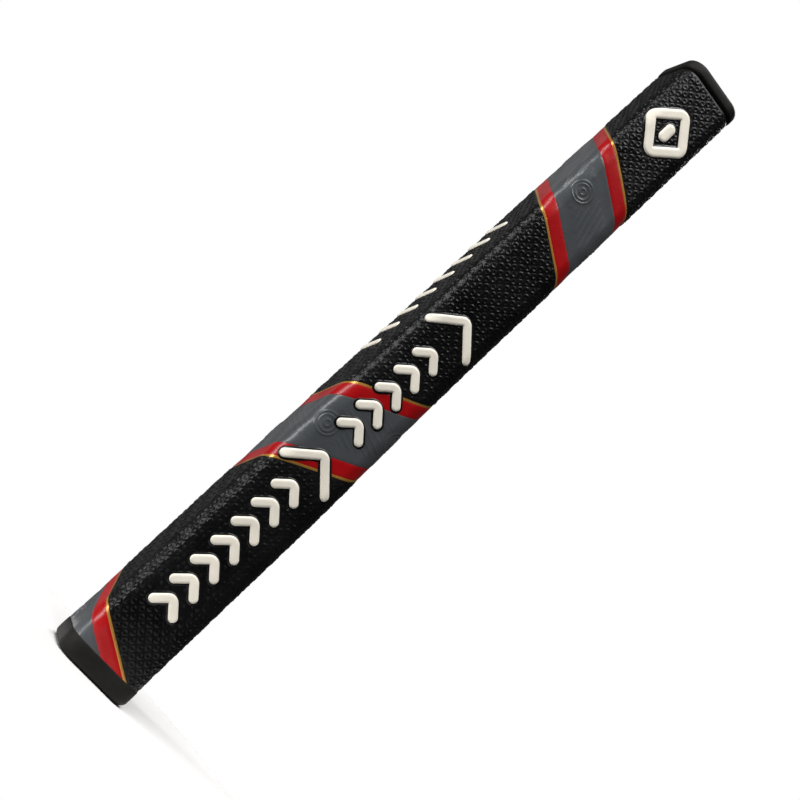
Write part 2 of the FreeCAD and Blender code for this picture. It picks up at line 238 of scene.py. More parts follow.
def trim(bm, height, slope, keep_above):
    """Cut the flat sheet along a sloping line and keep one side."""
    geometry = bm.verts[:] + bm.edges[:] + bm.faces[:]
    normal = Vector((-slope, 1, 0))
    bmesh.ops.bisect_plane(bm, geom=geometry, dist=1e-7, plane_co=(0, height, 0), plane_no=normal,
                           clear_inner=keep_above, clear_outer=not keep_above)


def flat_points(bm):
    """The vertices' places as an array."""
    return np.array([vertex.co[:] for vertex in bm.verts], float).reshape(-1, 3)


def place_points(bm, points):
    """Move the vertices to new places, in their order."""
    for vertex, point in zip(bm.verts, points):
        vertex.co = point


def store_sheet_coordinates(bm):
    """Keep each corner's place on the flat sheet, in metres, as the piece's UV map."""
    layer = bm.loops.layers.uv.new("sheet")
    for face in bm.faces:
        for loop in face.loops:
            loop[layer].uv = (loop.vert.co.x, loop.vert.co.y)


def linked(name, data):
    """A new object in the scene for a mesh, a light or a camera."""
    made = bpy.data.objects.new(name, data)
    bpy.context.scene.collection.objects.link(made)
    return made


def mesh_object(name, bm, material, smooth):
    """An object in the scene from a finished bmesh."""
    mesh = bpy.data.meshes.new(name)
    bm.to_mesh(mesh)
    bm.free()
    mesh.polygons.foreach_set("use_smooth", [smooth] * len(mesh.polygons))
    mesh.materials.append(material)
    return linked(name, mesh)


def new_piece(name, bm, material, body="grip", smooth=True):
    """Make an object from a finished bmesh and let it ride on a body."""
    piece = mesh_object(name, bm, material, smooth)
    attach(piece, body)
    return piece


def wrapped_piece(name, bm, shape, material, relief=None):
    """Lift the flat sheet by its relief, wrap it round the grip and make it a piece."""
    points = flat_points(bm)
    lift = points[:, 2]
    if relief is not None:
        lift = lift + relief(points[:, 0], points[:, 1])
    store_sheet_coordinates(bm)
    place_points(bm, wrap(shape, points[:, 0], points[:, 1], lift))
    return new_piece(name, bm, material)


# ---- materials

def linear(hex_value):
    """An sRGB hex value as a linear colour."""
    channels = [int(hex_value[index:index + 2], 16) / 255 for index in (1, 3, 5)]
    return [c / 12.92 if c <= 0.04045 else ((c + 0.055) / 1.055) ** 2.4 for c in channels] + [1.0]


def add_node(tree, kind, output, inputs=None, stops=None, **settings):
    """Add a shader node with its settings and links, and give back one of its outputs."""
    node = tree.nodes.new(kind)
    for name, value in settings.items():
        setattr(node, name, value)
    for element, (position, colour) in zip(node.color_ramp.elements if stops else (), stops or ()):
        element.position, element.color = position, colour
    for name, value in (inputs or {}).items():
        socket = node.inputs[name]
        if isinstance(value, bpy.types.NodeSocket):
            tree.links.new(value, socket)
        else:
            socket.default_value = value
    return node.outputs[output] if output else None


def new_material(name):
    """A material with an empty node tree, the tree and the place on the object in metres."""
    material = bpy.data.materials.new(name)
    material.use_nodes = True
    tree = material.node_tree
    tree.nodes.clear()
    return material, tree, add_node(tree, "ShaderNodeTexCoord", "Object")


def finish_material(material, tree, colour_over, stops, height, depth, values):
    """Colour from a ramp over one socket, bumps from a height if there is one, and the rest."""
    if height is not None:
        values["Normal"] = add_node(tree, "ShaderNodeBump", "Normal",
                                    {"Height": height, "Distance": depth})
    values["Base Color"] = add_node(tree, "ShaderNodeValToRGB", "Color", {"Fac": colour_over},
                                    stops=stops)
    surface = add_node(tree, "ShaderNodeBsdfPrincipled", "BSDF", values)
    add_node(tree, "ShaderNodeOutputMaterial", None, {"Surface": surface})
    return material


def drift_and_gloss(tree, place, cloud, roughness):
    """A noise of a (size, detail), and a roughness between two values that follows it."""
    drift = add_node(tree, "ShaderNodeTexNoise", "Fac",
                     {"Vector": place, "Scale": 1 / cloud[0], "Detail": cloud[1]})
    gloss = add_node(tree, "ShaderNodeMapRange", "Result",
                     {"Value": drift, "From Min": 0.3, "From Max": 0.7,
                      "To Min": roughness[0], "To Max": roughness[1]})
    return drift, gloss


def clouded_surface(name, stops, cloud, grain, roughness, **values):
    """A material whose colour and gloss drift together over one noise, under a fine grain.

    stops are two stops of the colour ramp, cloud is the drift's (size, detail), grain is
    (size, detail, depth) and roughness is (least, most). Sizes and depths are in metres.
    """
    material, tree, place = new_material(name)
    drift, values["Roughness"] = drift_and_gloss(tree, place, cloud, roughness)
    fine = add_node(tree, "ShaderNodeTexNoise", "Fac",
                    {"Vector": place, "Scale": 1 / grain[0], "Detail": grain[1]})
    return finish_material(material, tree, drift, stops, fine, grain[2], values)


def mixed(colour_value, gain, lift=0.0):
    """A linear colour made brighter or darker."""
    return [channel * gain + lift for channel in colour_value[:3]] + [1.0]


def embossed_polyurethane(colours):
    """Polyurethane skin, pressed with rings: satin, its colour and gloss drifting over one noise,
    with a leather-like grain.
    """
    base = linear(colours.skin_black)
    return clouded_surface(
        "embossed_polyurethane", ((0.35, base), (0.75, mixed(base, 1.9, 0.004))),
        cloud=(0.018, 3.0), grain=(0.00035, 2.0, 0.00004), roughness=(0.24, 0.34),
        **{"Specular IOR Level": 0.19})


def printed_polyurethane(name, hex_value, gloss=0.26, metallic=0.0):
    """Smooth printed polyurethane: an even ink under a clear coat, faintly orange-peeled."""
    base = linear(hex_value)
    return clouded_surface(
        name, ((0.3, mixed(base, 0.86)), (0.65, base)),
        cloud=(0.012, 3.0), grain=(0.0011, 1.0, 0.00003), roughness=(gloss, gloss + 0.08),
        **{"Metallic": metallic, "Specular IOR Level": 0.3, "Coat Weight": 0.12,
           "Coat Roughness": 0.18})


def moulded_rubber(colours):
    """Compression-moulded rubber: matt, slightly brown, with a fine blasted-mould grain."""
    base = linear(colours.rubber)
    return clouded_surface(
        "moulded_rubber", ((0.35, base), (0.8, mixed(base, 1.45, 0.003))),
        cloud=(0.009, 4.0), grain=(0.00028, 2.0, 0.00006), roughness=(0.52, 0.66),
        **{"Specular IOR Level": 0.2})


def closed_cell_foam():
    """EVA foam, skinned by its mould: charcoal, matt, with small closed cells."""
    material, tree, place = new_material("closed_cell_foam")
    cells = add_node(tree, "ShaderNodeTexVoronoi", "Distance",
                     {"Vector": place, "Scale": 1 / 0.0006})
    stops = ((0.0, linear("#2A2A2C")), (0.8, linear("#3A3A3D")))
    return finish_material(material, tree, cells, stops, cells, 0.00008, {"Roughness": 0.85})


def needled_felt():
    """Needled polyester felt: grey, fibrous and quite matt."""
    material, tree, place = new_material("needled_felt")
    fibre = add_node(tree, "ShaderNodeTexNoise", "Fac",
                     {"Vector": place, "Scale": 1 / 0.0004, "Detail": 6.0, "Roughness": 0.7})
    stops = ((0.3, linear("#7B7873")), (0.7, linear("#A29E97")))
    return finish_material(material, tree, fibre, stops, fibre, 0.0001,
                           {"Roughness": 0.95, "Sheen Weight": 0.3})


def turned_aluminium():
    """Turned aluminium: bright, with fine rings from the lathe."""
    material, tree, place = new_material("turned_aluminium")
    rings = add_node(tree, "ShaderNodeTexWave", "Fac",
                     {"Vector": place, "Scale": 1 / 0.0012, "Distortion": 0.4},
                     wave_type="BANDS", bands_direction="Z")
    cloud, brushed = drift_and_gloss(tree, place, (0.004, 3.0), (0.28, 0.4))
    stops = ((0.3, linear("#A9ABAD")), (0.7, linear("#C3C5C7")))
    return finish_material(material, tree, cloud, stops, rings, 0.00001,
                           {"Metallic": 1.0, "Roughness": brushed})


def studio_floor(colours):
    """Small white acrylic board: matt, with a barely uneven white."""
    material, tree, place = new_material("studio_board")
    base = linear(colours.floor)
    cloud = add_node(tree, "ShaderNodeTexNoise", "Fac",
                     {"Vector": place, "Scale": 1 / 0.25, "Detail": 3.0})
    stops = ((0.3, mixed(base, 0.985)), (0.7, base))
    return finish_material(material, tree, cloud, stops, None, None,
                           {"Roughness": 0.9, "Specular IOR Level": 0.1})


MATERIALS = {}


def material(name):
    """A finished material by its short name, made once."""
    if not MATERIALS:
        colours = bpy.context.scene.grip_colours
        MATERIALS.update({
            "skin": embossed_polyurethane(colours),
            "grey": printed_polyurethane("grey_polyurethane_print", colours.band_grey),
            "red": printed_polyurethane("red_polyurethane_print", colours.band_red),
            "gold": printed_polyurethane("gold_foil_print", colours.band_gold, metallic=0.55),
            "cream": printed_polyurethane("raised_cream_print", colours.mark_cream, gloss=0.34),
            "border": printed_polyurethane("black_border_print", colours.skin_black, gloss=0.3),
            "rubber": moulded_rubber(colours),
            "foam": closed_cell_foam(),
            "felt": needled_felt(),
            "aluminium": turned_aluminium(),
            # satin, and a little brighter where it was handled
            "anodised": clouded_surface(
                "black_anodised_aluminium", ((0.35, linear("#1C1D20")), (0.8, linear("#34363A"))),
                cloud=(0.003, 4.0), grain=(0.00015, 2.0, 0.00002), roughness=(0.34, 0.48),
                Metallic=0.9),
            # nitrile rubber: smooth and slightly oily
            "washer": clouded_surface(
                "washer_rubber", ((0.3, linear("#0E0E0F")), (0.7, linear("#19191A"))),
                cloud=(0.002, 3.0), grain=(0.002, 3.0, 0.00002), roughness=(0.38, 0.5)),
            "board": studio_floor(colours),
        })
    return MATERIALS[name]


# ---- skin relief

def edge_roll(shape, around, height):
    """The skin rolls in along the back seam and under the butt cap's lip."""
    seam_reach, seam_depth, cap_reach, cap_depth = 0.0007, 0.0005, 0.0014, 0.0006
    seam = np.clip(1 - (half_girth(shape) - np.abs(around)) / seam_reach, 0, 1)
    cap = np.clip(1 - (SKIN_HIGH.z - height) / cap_reach, 0, 1)
    return -seam_depth * seam ** 2 - cap_depth * cap ** 2


COLUMN_TURN, ROW_TURN = 0.754877, 0.569840  # share of a turn from a ring to the next one
RING_LEAN = 0.34  # how much lower a ring's low side is


def ring_pitch(shape, skin):
    """Distance between rings, so that a whole number of them goes round."""
    return 2 * half_girth(shape) / skin.rings_round


def ring_relief(shape, skin, around, height):
    """Rows of small pressed rings, each higher on one side, every second row shifted."""
    pitch = ring_pitch(shape, skin)
    relief = np.zeros_like(around)
    for shift in (0.0, 0.5):
        dx = (around / pitch + shift + 0.5) % 1.0 - 0.5
        dy = (height / pitch + shift + 0.5) % 1.0 - 0.5
        dx, dy = dx * pitch, dy * pitch
        radius = np.hypot(dx, dy)
        crest = np.clip(1 - np.abs(radius - skin.ring_radius) / skin.ring_width, 0, 1)
        crest = crest * crest * (3 - 2 * crest)
        # every ring is higher on a side of its own, in an order that looks unplanned
        column = np.floor(around / pitch + shift + 0.5)
        row = np.floor(height / pitch + shift + 0.5)
        turn = 2 * math.pi * ((column * COLUMN_TURN + row * ROW_TURN + shift) % 1.0)
        lean = (dx * np.cos(turn) + dy * np.sin(turn)) / np.maximum(radius, MERGE)
        relief = relief + crest * (1 - RING_LEAN + RING_LEAN * lean)
    return relief * skin.ring_relief


def near_marks(around, height):
    """1 well away from every raised mark, falling to 0 beside one."""
    clear = np.ones_like(around)
    for path, radius, closed in mark_paths():
        points = path + path[:1] if closed else path
        for (ax, ay), (bx, by) in zip(points, points[1:]):
            run = (bx - ax) ** 2 + (by - ay) ** 2
            t = np.clip(((around - ax) * (bx - ax) + (height - ay) * (by - ay)) / run, 0, 1)
            gap = np.hypot(around - ax - t * (bx - ax), height - ay - t * (by - ay)) - radius
            clear = np.minimum(clear, np.clip(gap / MARK_MARGIN, 0, 1))
    return clear


# ---- raised marks

MARK_MIDDLE = -0.0008  # the front marks stand a little left of the middle
SMALL_CHEVRON = (0.0040, 0.0040)  # half width and rise
LARGE_CHEVRON = (0.0088, 0.0082)
LOZENGE = ((-0.0010, 0.2410), 0.0082, 0.0092)  # middle, half width and half height
END_STEPS = 6  # rows of faces in a stroke's round end


def chevron(height, half_width, rise):
    """A chevron that points up the grip."""
    foot, left, right = height - rise, MARK_MIDDLE - half_width, MARK_MIDDLE + half_width
    return [(left, foot), (MARK_MIDDLE, height), (right, foot)]


def mark_paths():
    """Every raised mark as (path on the flat sheet, half stroke, closed)."""
    half_stroke = bpy.context.scene.grip_skin.mark_stroke / 2
    marks = []
    # two groups on the front, each a row of small chevrons below a large one
    for first, count, large in ((0.0315, 7, 0.0905), (0.1045, 5, 0.1500)):
        for index in range(count):
            marks.append((chevron(first + index * 0.0078, *SMALL_CHEVRON), half_stroke, False))
        marks.append((chevron(large, *LARGE_CHEVRON), half_stroke, False))
    # lozenge near the butt, with a short stroke inside
    (x, y), half_width, half_height = LOZENGE
    lozenge = [(x, y - half_height), (x + half_width, y),
               (x, y + half_height), (x - half_width, y)]
    marks.append((lozenge, half_stroke * 1.2, True))
    marks.append(([(x, y - 0.0016), (x, y + 0.0016)], half_stroke * 1.3, False))
    # row of slanted bars along the left side
    for index in range(8):
        x, y, half_width, lean = -0.0250, 0.1260 + index * 0.0080, 0.0036, 0.0016
        bar = [(x - half_width, y - lean), (x + half_width, y + lean)]
        marks.append((bar, half_stroke * 0.85, False))
    return marks


def rounded_path(points, closed, fillet, spacing):
    """Points along a path whose corners are rounded with arcs, evenly spread."""
    corners = [Vector(point) for point in points]
    count = len(corners)
    line = []
    for index, corner in enumerate(corners):
        if not closed and index in (0, count - 1):
            line.append(corner)
            continue
        before = (corners[index - 1] - corner).normalized()
        after = (corners[(index + 1) % count] - corner).normalized()
        half_angle = before.angle(after) / 2
        tangent = fillet / math.tan(half_angle)
        centre = corner + (before + after).normalized() * (fillet / math.sin(half_angle))
        sweep = math.pi - 2 * half_angle
        steps = max(3, round(fillet * sweep / spacing))
        first = corner + before * tangent - centre
        turn = first.angle_signed(corner + after * tangent - centre)
        for step in range(steps + 1):
            swing = Matrix.Rotation(-turn * step / steps, 2)
            line.append(centre + swing @ first)
    if closed:
        line.append(line[0].copy())
    spread = [line[0]]
    for start, end in zip(line, line[1:]):
        steps = max(1, round((end - start).length / spacing))
        for step in range(1, steps + 1):
            spread.append(start.lerp(end, step / steps))
    return spread


def stroke_sheet(points, radius, closed, relief):
    """A raised stroke with round ends and rounded edges along a path, on the flat sheet."""
    fillet = radius * 1.02
    row_spacing = 0.00045
    line = rounded_path(points, closed, fillet, row_spacing)
    # places across the stroke, closer together where its edge rounds over
    half_columns = [0.3, 0.6, 0.82, 0.93, 0.985, 1.0]
    columns = [-column for column in reversed(half_columns)] + [0.0] + half_columns
    rows = []
    count = len(line)
    for index, centre in enumerate(line):
        if closed:
            before, after = line[(index - 1) % (count - 1)], line[(index + 1) % (count - 1)]
        else:
            before, after = line[max(index - 1, 0)], line[min(index + 1, count - 1)]
        rows.append((centre, (after - before).normalized(), 1.0))
    if not closed:
        (first, first_way, _), (last, last_way, _) = rows[0], rows[-1]
        for step in range(1, END_STEPS + 1):
            reach = math.sin(math.pi / 2 * step / END_STEPS)
            width = math.sqrt(max(0.0, 1 - reach * reach))
            rows.insert(0, (first - first_way * radius * reach, first_way, width))
            rows.append((last + last_way * radius * reach, last_way, width))
    bm = bmesh.new()
    bmesh.ops.create_grid(bm, x_segments=len(columns) - 1, y_segments=len(rows) - 1, size=0.5)
    bm.verts.ensure_lookup_table()
    edge = 0.45 * radius
    foot = 0.0002
    for vertex in bm.verts:
        column = columns[round((vertex.co.x + 0.5) * (len(columns) - 1))]
        centre, way, width = rows[round((vertex.co.y + 0.5) * (len(rows) - 1))]
        side = Vector((way.y, -way.x))
        offset = column * width * radius
        place = centre + side * offset
        along = math.sqrt(max(0.0, 1 - width * width)) * radius
        inside = radius - math.hypot(offset, along)
        share = min(1.0, max(0.0, inside / edge))
        height = -foot + (relief + foot) * math.sqrt(1 - (1 - share) ** 2)
        vertex.co = (place.x, place.y, height)
    bmesh.ops.remove_doubles(bm, verts=bm.verts[:], dist=MERGE)
    return bm


def join(target, source):
    """Move one bmesh's geometry into another."""
    mesh = bpy.data.meshes.new("joining")
    source.to_mesh(mesh)
    source.free()
    target.from_mesh(mesh)
    bpy.data.meshes.remove(mesh)


# ---- bands

def band_table(skin):
    """The three bands as (name, heights on the front of the strips' edges, slope)."""
    field = skin.band_field / 2
    red = field + skin.band_stripe
    gold = red + skin.band_line
    bands = (("lower", skin.lower_band, -skin.slope), ("middle", skin.middle_band, skin.slope),
             ("upper", skin.upper_band, -skin.slope))
    return [(name, [middle + offset for offset in (-gold, -red, -field, field, red, gold)], slope)
            for name, middle, slope in bands]


def strip_sheet(shape, low, high, slope, spacing):
    """A flat strip between two parallel sloping lines, over the whole way round."""
    half = half_girth(shape)
    floor = SKIN_LOW.z - SKIN_TUCK
    bottom = max(low - abs(slope) * half, floor)
    top = high + abs(slope) * half
    if top <= floor:
        return None
    bm = flat_sheet((-half, bottom), (half, top), spacing, spacing)
    trim(bm, low, slope, keep_above=True)
    trim(bm, high, slope, keep_above=False)
    if not bm.faces:
        bm.free()
        return None
    return bm


def strip_groove(low, high, slope, around, height):
    """A fine valley along both edges of a printed strip."""
    lean = math.cos(math.atan(slope))
    place = height - slope * around
    gap = np.minimum(np.abs(place - low), np.abs(high - place)) * lean
    depth, half_width = 0.00007, 0.00022
    return -depth * np.exp(-(gap / half_width) ** 2)


def hand_waves(around, height):
    """Shallow unevenness left where the skin was pulled round the core by hand."""
    fine = np.sin(height / 0.0013 + 3 * np.sin(around / 0.0041))
    coarse = np.sin(height / 0.0031 + around / 0.0022)
    return 0.00004 * fine + 0.00007 * coarse


def badge_relief(middle, slope, shift, around, height):
    """Ghost badges pressed into a grey field: rings and short hatch lines between them."""
    badge_pitch, ring_half_width, hatch_pitch, depth = 0.0225, 0.00036, 0.0026, 0.00017
    clear_radius, field_half_height = 0.0052, 0.0056
    stretch = math.hypot(1, slope)
    along = (around + slope * (height - middle)) / stretch
    across = (height - middle - slope * around) / stretch
    dx = ((along + shift) / badge_pitch + 0.5) % 1.0 - 0.5
    radius = np.hypot(dx * badge_pitch, across)
    relief = np.zeros_like(around)
    for crest in (0.0036, 0.0025, 0.0010):
        relief = relief + np.clip(1 - np.abs(radius - crest) / ring_half_width, 0, 1)
    between = np.clip((radius - clear_radius) / 0.0006, 0, 1)
    hatch = np.clip(np.cos(2 * math.pi * (along + across) / hatch_pitch) * 2 - 1.0, 0, 1)
    field = np.clip((field_half_height - np.abs(across)) / 0.0005, 0, 1)
    relief = relief + 0.45 * between * hatch * field
    return depth * relief


# ---- turned and moulded shells

EDGE_STEPS = 8  # rows of faces in a rounded edge
SHELL_COLUMNS = 160  # faces round a moulded shell


def ring_shell(rows):
    """A closed shell from rows, each a function of the way round (0 to 1) that gives a point."""
    rows = rows + rows[:1]
    bm = bmesh.new()
    bmesh.ops.create_grid(bm, x_segments=SHELL_COLUMNS, y_segments=len(rows) - 1, size=0.5)
    for vertex in bm.verts:
        share = vertex.co.x + 0.5
        row = rows[round((vertex.co.y + 0.5) * (len(rows) - 1))]
        vertex.co = row(share % 1.0 if share < 0.99999 else 0.0)
    bmesh.ops.remove_doubles(bm, verts=bm.verts[:], dist=1e-7)
    bmesh.ops.recalc_face_normals(bm, faces=bm.faces[:])
    return bm


def turned(profile, steps, angle, **options):
    """A surface turned about the bore's axis from a profile of (radius, height) points."""
    bm = bmesh.new()
    line = [bm.verts.new((radius, 0, height)) for radius, height in profile]
    edges = [bm.edges.new(pair) for pair in zip(line, line[1:])]
    bmesh.ops.spin(bm, geom=line + edges, cent=(0, 0, 0), axis=(0, 0, 1), steps=steps,
                   angle=angle, **options)
    bmesh.ops.remove_doubles(bm, verts=bm.verts[:], dist=MERGE)
    return bm


def outline_row(shape, height, relief, station=None):
    """A row that follows the grip's outline at a height, moved outwards by relief."""
    station = height if station is None else station
    half = half_girth(shape)

    def row(share):
        around = np.array([(share * 2 - 1) * half])
        point = wrap(shape, around, np.array([station]), np.array([relief]))[0]
        return Vector((point[0], point[1], height))
    return row


def circle_row(radius, height):
    """A row on a circle about the bore, that starts at the back as the outline does."""
    def row(share):
        angle = math.pi / 2 + share * 2 * math.pi
        return Vector((radius * math.cos(angle), radius * math.sin(angle), height))
    return row


def rounded_edge(shape, end, up, radius, proud, station=None):
    """Rows round an outer edge, from the side to the end face, which looks up (1) or down (-1)."""
    rows = []
    for step in range(EDGE_STEPS + 1):
        angle = math.pi / 2 * step / EDGE_STEPS
        rows.append(outline_row(shape, end - up * radius * (1 - math.sin(angle)),
                                proud - radius * (1 - math.cos(angle)), station))
    return rows


def between_rows(first, second, share_between, drop=0.0):
    """A row part of the way from one row to another."""
    def row(share):
        return first(share).lerp(second(share), share_between) + Vector((0, 0, drop))
    return row


# ---- operators

class GRIP_OT_inner_layers(bpy.types.Operator):
    """Finish the foam core, the felt, the insert and the washer, which keep their own shapes"""
    bl_idname = "grip.inner_layers"
    bl_label = "Inner Layers"

    def execute(self, context):
        finishes = {"foam_core": "foam", "felt_backing": "felt", "port_insert": "aluminium",
                    "plug_washer": "washer"}
        for node, finish in finishes.items():
            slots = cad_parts[node].data.materials
            slots.clear()
            slots.append(material(finish))
        return {"FINISHED"}


class GRIP_OT_embossed_skin(bpy.types.Operator):
    """Wrap the three black embossed zones of the skin between the colour bands"""
    bl_idname = "grip.embossed_skin"
    bl_label = "Embossed Skin"

    def execute(self, context):
        shape = context.scene.grip_shape
        skin = context.scene.grip_skin
        bands = band_table(skin)
        half = half_girth(shape)
        sample = ring_pitch(shape, skin) / skin.ring_samples
        for (name, edges, low_slope), above in zip(bands, bands[1:] + [None]):
            low = edges[-1]
            high, high_slope = (above[1][0], above[2]) if above else (SKIN_HIGH.z, 0.0)
            bottom = max(low - abs(low_slope) * half, SKIN_LOW.z - SKIN_TUCK)
            bottom = math.floor(bottom / sample) * sample
            highest = math.ceil((high + abs(high_slope) * half) / sample) * sample
            bm = flat_sheet((-half, bottom), (half, highest), sample, sample)
            trim(bm, SKIN_LOW.z - SKIN_TUCK, 0.0, keep_above=True)
            trim(bm, SKIN_HIGH.z, 0.0, keep_above=False)
            trim(bm, low, low_slope, keep_above=True)
            trim(bm, high, high_slope, keep_above=False)

            def relief(around, height):
                lean = math.cos(math.atan(low_slope))
                gap = np.minimum(height - low_slope * around - low,
                                 high + high_slope * around - height) * lean
                fade = np.clip((gap - 0.0002) / 0.0006, 0, 1)
                fade = fade * np.clip((SKIN_HIGH.z - 0.0010 - height) / 0.0010, 0, 1)
                fade = fade * near_marks(around, height)
                rings = ring_relief(shape, skin, around, height)
                return rings * fade + edge_roll(shape, around, height)
            piece = wrapped_piece("skin_zone_" + name, bm, shape, material("skin"), relief)
            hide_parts("outer_skin")
        return {"FINISHED"}


class GRIP_OT_colour_bands(bpy.types.Operator):
    """Wrap the grey fields, red stripes and gold lines of the three diagonal bands"""
    bl_idname = "grip.colour_bands"
    bl_label = "Colour Bands"

    def execute(self, context):
        shape = context.scene.grip_shape
        skin = context.scene.grip_skin
        colours = ("gold", "red", "grey", "red", "gold")
        for name, edges, slope in band_table(skin):
            middle = (edges[2] + edges[3]) / 2
            for colour in ("grey", "red", "gold"):
                whole = bmesh.new()
                spacing = 0.00026 if colour == "grey" else 0.0006
                for strip, low, high in zip(colours, edges, edges[1:]):
                    bm = strip_sheet(shape, low, high, slope, spacing) if strip == colour else None
                    if bm is not None:
                        points = flat_points(bm)
                        points[:, 2] = strip_groove(low, high, slope, points[:, 0], points[:, 1])
                        place_points(bm, points)
                        join(whole, bm)
                if not whole.faces:
                    whole.free()
                    continue

                def relief(around, height):
                    lift = edge_roll(shape, around, height) + hand_waves(around, height)
                    if colour == "grey":
                        badges = badge_relief(middle, slope, 0.0085 if slope > 0 else 0.0065,
                                              around, height)
                        lift = lift + badges * near_marks(around, height)
                    return lift
                piece = wrapped_piece("band_" + colour + "_" + name, whole, shape,
                                      material(colour), relief)
                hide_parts("outer_skin")
        return {"FINISHED"}


class GRIP_OT_raised_marks(bpy.types.Operator):
    """Raise the cream chevrons, bars and lozenge, each on its black border"""
    bl_idname = "grip.raised_marks"
    bl_label = "Raised Marks"

    def execute(self, context):
        shape = context.scene.grip_shape
        skin = context.scene.grip_skin
        layers = (
            ("mark_borders", "border", skin.mark_border, 0.4 * skin.mark_relief),
            ("marks", "cream", 0.0, skin.mark_relief),
        )
        for name, finish, extra, relief in layers:
            whole = bmesh.new()
            for path, radius, closed in mark_paths():
                join(whole, stroke_sheet(path, radius + extra, closed, relief))
            piece = wrapped_piece(name, whole, shape, material(finish))
        return {"FINISHED"}


class GRIP_OT_seam(bpy.types.Operator):
    """Lay the polyurethane bead along the back seam"""
    bl_idname = "grip.seam"
    bl_label = "Back Seam"

    def execute(self, context):
        shape = context.scene.grip_shape
        low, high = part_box("seam_bead")
        half_width = 0.00075
        foot = low.z - 0.0004
        bm = flat_sheet((-half_width, foot), (half_width, high.z), half_width / 5, 0.0005)
        points = flat_points(bm)
        across = points[:, 0] / half_width
        ripple = 0.00003 * np.sin(points[:, 1] / 0.0011) + 0.00002 * np.sin(points[:, 1] / 0.0037)
        # the bead lies below the skin, falls off at both sides and dips under the cap
        sunk, fall, dip, dip_reach = 0.00022, 0.0005, 0.0005, 0.0014
        lift = -sunk + ripple - fall * across ** 4
        lift = lift - dip * np.clip(1 - (high.z - points[:, 1]) / dip_reach, 0, 1) ** 2
        store_sheet_coordinates(bm)
        half = half_girth(shape)
        around = np.where(points[:, 0] < 0, -half - points[:, 0], half - points[:, 0])
        place_points(bm, wrap(shape, around, points[:, 1], lift))
        bmesh.ops.reverse_faces(bm, faces=bm.faces[:])
        piece = new_piece("seam", bm, material("border"))
        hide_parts("seam_bead")
        return {"FINISHED"}


class GRIP_OT_collar(bpy.types.Operator):
    """Mould the lower collar: flange, rounded foot, chamfered mouth and sleeve"""
    bl_idname = "grip.collar"
    bl_label = "Lower Collar"

    def execute(self, context):
        shape = context.scene.grip_shape
        top = SKIN_LOW.z - GLUE_LINE
        proud = 0.0003
        foot = 0.002
        tuck = 0.0002
        mouth = circle_row(shape.bore_radius + MOUTH_CHAMFER, 0.0)
        # the step behind the skin and the lip of the flange
        step = ((top - tuck, -0.0009), (top, -0.0004), (top, proud - 0.0003),
                (top - 0.0001, proud - 0.0001), (top - 0.0003, proud),
                ((top + foot) / 2, proud + 0.00006))
        rows = [outline_row(shape, height, relief) for height, relief in step]
        rows += rounded_edge(shape, 0.0, -1, foot, proud, SKIN_LOW.z)
        edge = outline_row(shape, 0.0, proud - foot - 0.0001, SKIN_LOW.z)
        for share in (0.0, 0.35, 0.7, 1.0):
            rows.append(between_rows(edge, mouth, share))
        # the chamfered mouth, the bore and the outside of the sleeve
        bore = shape.bore_radius
        for radius, height in ((bore + 0.00015, 0.00012), (bore, 0.0005), (bore, COLLAR_TOP),
                               (bore + SLEEVE_WALL, COLLAR_TOP), (bore + SLEEVE_WALL, top - tuck)):
            rows.append(circle_row(radius, height))
        piece = new_piece("collar", ring_shell(rows), material("rubber"))
        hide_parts("lower_collar")
        return {"FINISHED"}


class GRIP_OT_butt_cap(bpy.types.Operator):
    """Mould the butt cap: lip, rounded end, shallow groove, port recess and spigot"""
    bl_idname = "grip.butt_cap"
    bl_label = "Butt Cap"

    def execute(self, context):
        shape = context.scene.grip_shape
        bottom = SKIN_HIGH.z + GLUE_LINE
        top = CAP_HIGH.z
        round_edge = 0.0016
        proud = 0.00035
        port = 0.0069  # radius of the recess
        recess = circle_row(port, top)
        lip = ((bottom - 0.0001, -0.0014), (bottom, -0.0007), (bottom + 0.0001, -0.0003),
               (bottom + 0.0004, 0.0002), (bottom + 0.0009, proud))
        rows = [outline_row(shape, height, relief) for height, relief in lip]
        rows += rounded_edge(shape, top, 1, round_edge, proud)
        edge = outline_row(shape, top, -round_edge)
        # share of the way from the edge to the recess, and the drop of the shallow groove
        groove = -0.00035
        steps = ((0.0, 0.0), (0.28, 0.0), (0.36, groove), (0.46, groove), (0.54, 0.0), (0.9, 0.0))
        for share, drop in steps:
            rows.append(between_rows(edge, recess, share, drop))
        # the recess, the seat of the insert, the air vent and the spigot that sits in the core
        seat, vent = 0.00655, 0.0012
        spigot = seat + SLEEVE_WALL
        seat_floor = INSERT_LOW.z - GLUE_LINE
        for radius, height in ((port + 0.0001, top), (port, top - 0.0001), (port, INSERT_HIGH.z),
                               (seat, INSERT_HIGH.z), (seat, seat_floor), (vent, seat_floor),
                               (vent, CAP_LOW.z), (spigot, CAP_LOW.z), (spigot, bottom - 0.0001)):
            rows.append(circle_row(radius, height))
        piece = new_piece("cap", ring_shell(rows), material("rubber"))
        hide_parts("butt_cap")
        return {"FINISHED"}


